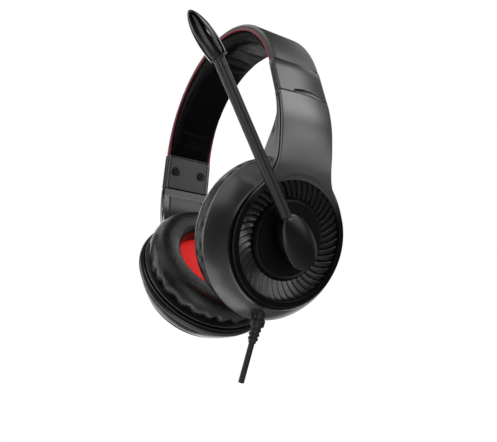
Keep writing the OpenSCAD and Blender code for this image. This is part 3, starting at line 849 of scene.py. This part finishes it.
def shell_between(upper, lower):
    """Closes two matching grids into a solid."""
    n, m = len(upper), len(upper[0])
    verts, faces = join(loft(upper, closed=False), loft(lower, closed=False))
    base = n * m
    border = list(range(m)) + [i * m + m - 1 for i in range(1, n)]
    border += [(n - 1) * m + j for j in range(m - 2, -1, -1)] + [i * m for i in range(n - 2, 0, -1)]
    for a, b in zip(border, border[1:] + border[:1]):
        faces.append((a, b, base + b, base + a))
    return verts, faces


# Inner cover of the arm: a thin plate let into the saddle and just proud of it, its border sunk
COVER_T, COVER_V = stops(0.16, 0.86, 0.007, 22), stops(-0.8, 0.8, 0.022, 18)
BORDER_T, BORDER_V = (COVER_T[0], COVER_T[-1]), (COVER_V[0], COVER_V[-1])
cover_top = [[saddle(v, t, -0.12 if t in BORDER_T or v in BORDER_V else 0.2) for v in COVER_V]
             for t in COVER_T]
cover_under = [[saddle(v, t, -1.2) for v in COVER_V] for t in COVER_T]
pair("arm_cover", shell_between(cover_top, cover_under), INNER, CUP, ("arm_cover",),
     slot="inner_trim", sharp=50)

# ---------------------------------------------------------------- fins and hub
FIN_COUNT, FIN_SWEEP = 46, math.radians(10)
FIN_BASE, FIN_TOP, FIN_CLIMB, FIN_LEAN = 9.6, 11.9, 2.5, 1.7


def fin_geo():
    """Swept blades from the hub out to the rim: each leans to one side and climbs outwards."""
    parts = []
    rows = 12
    r0, r1 = HUB_R + 0.1, HOLE_R + 0.5
    pitch = 2 * math.pi / FIN_COUNT
    wide, half = 0.44 * pitch, FIN_LEAN * 0.5
    for i in range(FIN_COUNT):
        rings = []
        for j in range(rows + 1):
            t = j / rows
            r = mix(r0, r1, t)
            mid = i * pitch - FIN_SWEEP * t ** 1.3
            top = FIN_TOP + FIN_CLIMB * t ** 1.3
            section = [(-wide, FIN_BASE), (-wide, top + half - 0.3), (-wide * 0.84, top + half),
                       (0, top - FIN_LEAN * 0.05), (wide * 0.86, top - half), (wide, top - half - 0.3),
                       (wide, FIN_BASE)]
            rings.append([(r * math.sin(mid + da), r * math.cos(mid + da), h) for da, h in section])
        parts.append(loft(rings, cap=(True, True)))
    return join(*parts)


pair("fin_blades", fin_geo(), FINS, CUP, slot="fins")
tray = revolve([(12, 9), (36, 9), (36, 15.1), (34.25, 15.1), (34.1, 10.9), (33.2, 9.7), (12, 9.7)])
pair("fin_insert", tray, FLOOR_BLACK, CUP, ("fin_insert",), slot="fins", sharp=40)
hub_profile = [(0.0, 10.5), (HUB_R, 10.5), (HUB_R, HUB_TOP - 2.5), (HUB_R - 0.2, HUB_TOP - 2.15),
               (HUB_R - 1.7, HUB_TOP - 0.15), (HUB_R - 1.9, HUB_TOP), (HUB_R - 2.15, HUB_TOP - 0.05),
               (HUB_R - 2.5, HUB_TOP - 0.35), (HUB_R - 3.1, HUB_TOP - 0.4), (12, HUB_TOP - 0.38),
               (0.0, HUB_TOP - 0.35)]
pair("hub_disc", revolve(hub_profile), HUB, CUP, ("hub_disc",), slot="hub", sharp=50)

# ---------------------------------------------------------------- pad ring and cloth
pad_ring_profile = [(31.9, -2.0), (43.6, -2.0), (43.6, -3.0), (45.6, -3.1), (46.0, -3.4), (46.0, -3.9),
                    (45.6, -4.2), (31.9, -4.2)]
pair("pad_ring", revolve(pad_ring_profile), INNER, CUP, ("pad_ring",), slot="inner_trim", sharp=40)
CLOTH_R = 31.8


def cloth_disc():
    """Speaker cloth: stretched flat at its edge, crowned a little in the middle."""
    rings = []
    n = 72
    for r in (CLOTH_R, 31.5, 30, 26, 22, 17, 12, 7, 3, 0.6):
        h = -3.1 - 0.5 * (1 - (r / CLOTH_R) ** 2) - 0.25 * smooth((CLOTH_R - r) / 1.2)
        rings.append(circle(r, h, n))
    top, faces = loft(rings, cap=(False, True))
    n_top = len(top)
    verts = top + [Vector((v.x, v.y, v.z + 0.35)) for v in top]
    faces = faces + [tuple(i + n_top for i in reversed(f)) for f in faces]
    faces += [(k, (k + 1) % n, n_top + (k + 1) % n, n_top + k) for k in range(n)]
    return verts, faces


pair("speaker_cloth", cloth_disc(), RED_CLOTH, CUP, ("speaker_cloth",), slot="speaker_cloth", sharp=60)

# ---------------------------------------------------------------- microphone
BOSS_HALF, BOSS_BLUNT, BOSS_NARROW = 10.2, 15.4, 18.7


def egg(scale, z):
    """The boss's outline: wide and blunt behind the pivot, narrower toward the boom."""
    pts = []
    for c, s, _ in circle(1, 0, 64):
        if c < 0:
            x, y = math.copysign(abs(s) ** (2 / 2.4), s) * BOSS_HALF, -BOSS_BLUNT * (-c) ** (2 / 2.4)
        else:
            x, y = s * BOSS_HALF, BOSS_NARROW * c
        pts.append((x * scale, 0.3 + (y - 1.8) * scale, z))
    return pts


boss_levels = [(0.93, 18.45), (0.945, 18.6), (0.97, 20), (0.99, 22.0), (1.0, 23.4), (0.997, 24.0),
               (0.985, 24.5), (0.955, 24.95), (0.9, 25.4), (0.81, 25.85), (0.7, 26.2), (0.55, 26.55),
               (0.38, 26.8), (0.2, 26.95), (0.04, 27.0)]
make("mic_boss", join(revolve([(5.2, 16.15), (8.6, 16.15), (8.6, 18.6), (5.2, 18.6)], 64),
                      loft([egg(s, z) for s, z in boss_levels], cap=(True, True))),
     BOSS, "microphone", MIC, stands=("mic_boss",), slot="shell", sharp=50)


def along(profile, height=0.0, n=48):
    """A profile of (radius, distance along y) turned about an axis parallel to y at the given height."""
    verts, faces = revolve(profile, n)
    return [Vector((v.x, v.z, height + v.y)) for v in verts], faces


BOOM_END = COLLAR_AT + 1
tube = [(0.9, 9.0), (BOOM_R, 9.0)]
tube += [(mix(BOOM_R, 3.2, i / 12), mix(9.5, BOOM_END, i / 12)) for i in range(13)] + [(0.9, BOOM_END)]
make("mic_boom", along(tube, BOOM_H), BOOM, "microphone", MIC, stands=("mic_boom",), slot="boom", sharp=50)
collar = [(3.1, -1.7), (4.2, -1.7), (4.85, -1.5), (5.05, -1.0), (5.05, -0.35), (4.9, -0.1), (4.4, -0.05),
          (4.4, 2.2), (3.3, 2.2)]
make("mic_collar", along(collar), BOOM, "microphone", HEAD, stands=("mic_collar",), slot="boom", sharp=50)
capsule = [(4.45, 0.6), (4.7, 0.1), (5.05, 0.15), (5.2, 0.5), (5.4, 2.6), (5.6, 5.5), (5.68, 8.5),
           (5.6, 11.5), (5.38, 14.3), (5.0, 17), (4.45, 19.6), (3.75, 22), (2.9, 24.1), (2.0, 25.8),
           (1.1, 26.9), (0.45, 27.3), (0.0, HEAD_LEN), (0.0, 12), (4.45, 9)]
head = make("mic_capsule", along(capsule, n=64), GLOSS, "microphone", HEAD, stands=("mic_capsule",),
            slot="mic_capsule", sharp=50)


def drill(obj, matrix, geo):
    """Cuts the shape geo, placed by matrix, out of obj."""
    verts, faces = geo
    cutter = new_object("drill", new_mesh("drill", ([matrix @ v for v in verts], faces)))
    mod = obj.modifiers.new("drill", "BOOLEAN")
    mod.solver = "EXACT"
    mod.object = cutter
    apply_modifiers(obj)
    bpy.data.objects.remove(cutter)


PINHOLE_R, PINHOLE_AT = 0.5, 16.5
pin = [[(x, PINHOLE_AT + y, z) for x, y, z in circle(PINHOLE_R, z, 16)] for z in (3.2, 7)]
drill(head, HEAD, loft(pin, cap=(True, True)))

# ---------------------------------------------------------------- cable
# Cable frame: z outward along the cable, from just inside the housing's wall
CABLE = (CUP @ Matrix.Translation((-5.8, -CUP_R + 4, 8)) @ Matrix.Rotation(math.radians(-5), 4, "Z")
         @ Matrix.Rotation(math.radians(90), 4, "X"))
boot = [(1.7, -3), (3.3, -3), (3.3, 2), (3.95, 2.1), (4.2, 2.5), (4.2, 5.4), (3.95, 5.9), (3.1, 6.1),
        (2.85, 7.3)]
for i in range(3):
    y0 = 7.4 + i * 2.4
    r = 3.3 - i * 0.2
    boot += [(r - 0.15, y0), (r, y0 + 0.25), (r, y0 + 0.95), (r - 0.15, y0 + 1.2), (r - 0.65, y0 + 1.35),
             (r - 0.7, y0 + 2.25)]
boot += [(2.2, 14.9), (1.9, 15.1), (1.7, 15.1)]
make("cable_boot", revolve(boot, 40), RUBBER, "left_cup", CABLE, stands=("cable_boot",),
     slot="rubber", sharp=40)
CABLE_R, CABLE_IN, CABLE_OUT = 1.65, 5, 36
stub = [(0.0, -CABLE_IN)]
stub += [(CABLE_R, -CABLE_IN + i * (CABLE_IN + CABLE_OUT) / 12) for i in range(13)] + [(0.0, CABLE_OUT)]
make("cable_stub", revolve(stub, 32), RUBBER, "left_cup", CABLE, stands=("cable_stub",),
     slot="rubber", sharp=50)

# ---------------------------------------------------------------- soft parts
PRESSURE, SIM_FRAMES = 3.0, 20


def soft_object(name, geo):
    mesh = new_mesh(name, geo)
    mesh.transform(Matrix.Scale(MM, 4))
    return new_object(name, mesh)


def inflate(obj, voxel, cap):
    """Cloth simulation: remesh, blow up gently, and keep each point within cap of where it started."""
    mod = obj.modifiers.new("remesh", "REMESH")
    mod.mode = "VOXEL"
    mod.voxel_size = voxel
    apply_modifiers(obj)
    start = [v.co.copy() for v in obj.data.vertices]
    scene = bpy.context.scene
    mod = obj.modifiers.new("cloth", "CLOTH")
    s = mod.settings
    s.quality = 6
    s.mass = 0.2
    s.tension_stiffness = s.compression_stiffness = 12
    s.bending_stiffness = 0.4
    s.use_pressure = True
    s.uniform_pressure_force = PRESSURE
    s.effector_weights.gravity = 0
    for f in range(1, SIM_FRAMES + 1):
        scene.frame_set(f)
    apply_modifiers(obj)
    scene.frame_set(1)
    for v, s0 in zip(obj.data.vertices, start):
        move = v.co - s0
        if move.length > cap:
            v.co = s0 + move.normalized() * cap
    mod = obj.modifiers.new("subdivision", "SUBSURF")
    mod.levels = mod.render_levels = 1
    apply_modifiers(obj)


def upholster(obj, mat, body, node):
    """Gives a finished cushion its material and its place in the assembly."""
    for p in obj.data.polygons:
        p.use_smooth = True
    obj.data.materials.clear()
    obj.data.materials.append(mat)
    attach(obj, body)
    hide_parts(node)


def pad_start():
    """Ear pad before it is blown up: flat back, full front, tight inner edge and a rounder outer one."""
    mid, half = (PAD_OUT + PAD_HOLE) / 2, (PAD_OUT - PAD_HOLE) / 2 - 1.0
    z_mid, rise = PAD_BACK - 6.0, PAD_T - 7.0
    profile = []
    for k in range(23):
        t = math.pi + math.pi * k / 22
        c, s = math.cos(t), max(-math.sin(t), 0)
        power = 0.5 if c < 0 else 0.85
        profile.append((mid + half * math.copysign(abs(c) ** power, c), z_mid - rise * s ** power))
    profile += [(mid + half, -7.0), (mid + half - 0.6, PAD_BACK - 0.8), (mid + half - 2, PAD_BACK - 0.4),
                (mid - half + 2, PAD_BACK - 0.4), (mid - half + 0.6, PAD_BACK - 0.8), (mid - half, -7.0)]
    return revolve(profile)


GATHERS = 27


def finish_pad(obj):
    """Seam and gathers where the cover is drawn in at the back, creases on the inner wall, uneven front."""
    for v in obj.data.vertices:
        p = v.co
        r, a = math.hypot(p.x, p.y), math.atan2(p.y, p.x)
        depth = PAD_BACK - p.z
        out = Vector((p.x / r, p.y / r, 0))
        outer = smooth((r - 40) / 5)
        near_back = 1 - smooth((depth - 2.0) / 7.5)
        wobble = noise.noise(Vector((math.cos(a) * 3, math.sin(a) * 3, 1.7)))
        wave = math.cos(GATHERS * a + 2.2 * wobble)
        fold = (0.5 - 0.5 * wave) ** 1.4
        p -= out * outer * near_back * (0.2 + 1.8 * fold * (0.8 + 0.5 * wobble))
        seam = math.exp(-((depth - 3.1) / 0.55) ** 2) * outer
        p -= out * seam * 0.55
        inner = smooth((33 - r) / 5)
        crease = noise.noise(Vector((a * 9, depth * 0.16, 4.2))) * 0.45
        crease += noise.noise(Vector((a * 21, depth * 0.3, 9))) * 0.2
        p += out * inner * crease
        front = smooth((depth - 11) / 5)
        soft = noise.noise(Vector((p.x * 0.05, p.y * 0.05, 2.5)))
        p.z -= front * 0.45 * soft
        v.co = p


left_pad = soft_object("ear_pad_skin_left", pad_start())
inflate(left_pad, 2.6 * MM, 1.6 * MM)
left_pad.data.transform(Matrix.Scale(1 / MM, 4))
finish_pad(left_pad)
right_pad = new_object("ear_pad_skin_right", left_pad.data.copy())
left_pad.data.transform(CUP)
right_pad.data.transform(MIRROR @ CUP)
right_pad.data.flip_normals()
upholster(left_pad, PAD_LEATHER, "left_cup", "ear_pad_left")
upholster(right_pad, PAD_LEATHER, "right_cup", "ear_pad_right")

# Head cushion: its inner face is an arc through the crown and the ends of the sleeves
cushion_end = SLEEVE_TOP / MM - OUT * SLEEVE_T
CUSHION_R = (cushion_end.x ** 2 + cushion_end.z ** 2) / (-2 * cushion_end.z)
CUSHION_TOP = COVER_IN - 0.1


def cushion_in(a):
    """Distance from the arch's centre to the cushion's inner face at angle a."""
    d = ARCH_Z + CUSHION_R
    b = math.cos(a) * d
    return -b + math.sqrt(b * b - d * d + CUSHION_R ** 2)


def cushion_section(a):
    inner = cushion_in(a) + 0.5
    thick = CUSHION_TOP - inner
    edge = min(thick * 0.48, 4.6)
    return rounded(inner, CUSHION_TOP, BAND_W / 2 - 0.7, min(0.5, thick * 0.2), edge, 6)


cushion = soft_object("head_cushion_skin", arch_sweep(cushion_section, SLEEVE_A + 0.02, 90))
inflate(cushion, 1.7 * MM, 1.0 * MM)
for v in cushion.data.vertices:
    p = v.co / MM
    a = math.atan2(p.x, p.z - ARCH_Z)
    r = math.hypot(p.x, p.z - ARCH_Z)
    inner = smooth((CUSHION_TOP - 0.5 - r) / 2.5)
    edge = smooth((abs(p.y) - 12) / 5)
    soft = noise.noise(Vector((a * 5, p.y * 0.07, 0.3))) * 0.5
    soft += noise.noise(Vector((a * 24, p.y * 0.12, 2.1))) * 0.16
    gather = 0.5 + 0.5 * math.cos(a * 92 + 2 * noise.noise(Vector((a * 4, 5, 0))))
    seam_pull = math.exp(-((r - (CUSHION_TOP - 1.2)) / 1.3) ** 2) * smooth((abs(p.y) - 14) / 2)
    p += Vector((p.x, 0, p.z - ARCH_Z)).normalized() * inner * soft * 0.8
    p.y -= math.copysign(1, p.y) * seam_pull * (0.25 + 0.4 * gather)
    v.co = p * MM
upholster(cushion, LEATHER, "headband", "head_cushion")

# ---------------------------------------------------------------- stage
# The floor is far enough down for the soft boxes below the camera to reach the headset
FLOOR_DROP, FLOOR_GLOW = 0.75, 0.45


def stage_floor():
    """A pale disc that also glows a little, but only to the camera."""
    floor_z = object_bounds()[0].z - FLOOR_DROP
    mesh = new_mesh("floor", loft([circle(r, floor_z, 64) for r in (0.01, 1.0, 4.0)], cap=(True, False)))
    obj = new_object("floor", mesh)
    mat, nt, bsdf, coord = new_material("floor_pale")
    patches = tex(nt, "Noise", coord, Scale=3, Detail=3)
    nt.links.new(ramp(nt, patches.outputs["Fac"], [(0.3, 0.86), (0.7, 0.9)]), bsdf.inputs["Base Color"])
    bsdf.inputs["Roughness"].default_value = 0.9
    bsdf.inputs["Emission Color"].default_value = (1, 1, 1, 1)
    seen = nt.nodes.new("ShaderNodeLightPath")
    glow = nt.nodes.new("ShaderNodeMath")
    glow.operation = "MULTIPLY"
    glow.inputs[1].default_value = FLOOR_GLOW
    nt.links.new(seen.outputs["Is Camera Ray"], glow.inputs[0])
    nt.links.new(glow.outputs[0], bsdf.inputs["Emission Strength"])
    mesh.materials.append(mat)


stage_floor()

# Camera: degrees round and up from the front, and roll; distance and sideways offsets in mm from a point
# at height CAM_REF_Z; lens and sensor width in mm, and the lens's shift as a share of the frame's width
CAM_AZ, CAM_EL, CAM_ROLL = 50.08, -32.11, 5.75
CAM_D, CAM_TX, CAM_TZ, CAM_REF_Z = 395.72, 45.51, 58.81, -106.24
LENS, SENSOR, SHIFT_X, SHIFT_Y = 42.15694, 36, -0.112294, -0.234245


def camera():
    """Places the camera and gives its right, up and backward directions."""
    a, e, roll = (math.radians(v) for v in (CAM_AZ, CAM_EL, CAM_ROLL))
    back = Vector((math.sin(a) * math.cos(e), -math.cos(a) * math.cos(e), math.sin(e)))
    right = Vector((math.cos(a), math.sin(a), 0))
    up = back.cross(right)
    r2 = right * math.cos(roll) - up * math.sin(roll)
    u2 = right * math.sin(roll) + up * math.cos(roll)
    pos = Vector((0, 0, CAM_REF_Z)) + back * CAM_D + r2 * CAM_TX + u2 * CAM_TZ
    cam = new_object("camera", bpy.data.cameras.new("camera"))
    m = Matrix((r2, u2, back)).transposed().to_4x4()
    m.translation = pos * MM
    cam.matrix_world = m
    cam.data.sensor_width = SENSOR
    cam.data.lens = LENS
    cam.data.shift_x = SHIFT_X
    cam.data.shift_y = SHIFT_Y
    cam.data.clip_start = 0.01
    bpy.context.scene.camera = cam
    return r2, u2, back


cam_right, cam_up, cam_back = camera()
TARGET = Vector((0.02, 0, -0.09))


def softbox(name, around, height, energy, size=0.55):
    """A square soft box a metre from the headset: degrees round it from the camera's side, and degrees up."""
    light = bpy.data.lights.new(name, "AREA")
    light.shape = "RECTANGLE"
    light.size = light.size_y = size
    light.energy = energy
    obj = new_object(name, light)
    a, e = math.radians(around), math.radians(height)
    way = (cam_back * math.cos(a) + cam_right * math.sin(a)) * math.cos(e) + cam_up * math.sin(e)
    obj.location = TARGET + way
    obj.rotation_mode = "QUATERNION"
    obj.rotation_quaternion = (-way).to_track_quat("-Z", "Y")


softbox("left", -90, 20, 2.2)
softbox("left_level", -90, -10, 2.0)
softbox("left_high", -60, 50, 1.3)
softbox("left_low", -72, -40, 1.4)
softbox("left_below", -60, -70, 1.4)
softbox("left_behind", -150, -10, 2.0)
softbox("left_behind_up", -150, 20, 1.0)
softbox("left_behind_high", -140, 50, 1.7)
softbox("top", -36, 75, 0.7)
softbox("front", 0, -10, 1.3)
softbox("front_high", 0, 20, 1.0)
softbox("right_front", 50, 22, 0.6, 0.1)
softbox("right", 74, 16, 1.3)
softbox("right_up", 80, 36, 0.9)
softbox("right_low", 115, -10, 0.6)
softbox("top_right", 70, 82, 0.4)
softbox("right_high", 100, 50, 2.9)
softbox("right_behind", 150, 20, 1.3)
softbox("left_behind_low", -156, -28, 0.9)
softbox("behind_below", 180, -40, 0.8)

# The world is white behind the headset and almost dark as a light
world = bpy.data.worlds.new("studio")
world.use_nodes = True
bpy.context.scene.world = world
wnt = world.node_tree
bg = wnt.nodes["Background"]
bg.inputs["Color"].default_value = (1, 1, 1, 1)
path = wnt.nodes.new("ShaderNodeLightPath")
level = wnt.nodes.new("ShaderNodeMapRange")
level.inputs["To Min"].default_value = 0.004
level.inputs["To Max"].default_value = 1.0
wnt.links.new(path.outputs["Is Camera Ray"], level.inputs["Value"])
wnt.links.new(level.outputs["Result"], bg.inputs["Strength"])
bpy.context.scene.view_settings.view_transform = "Standard"
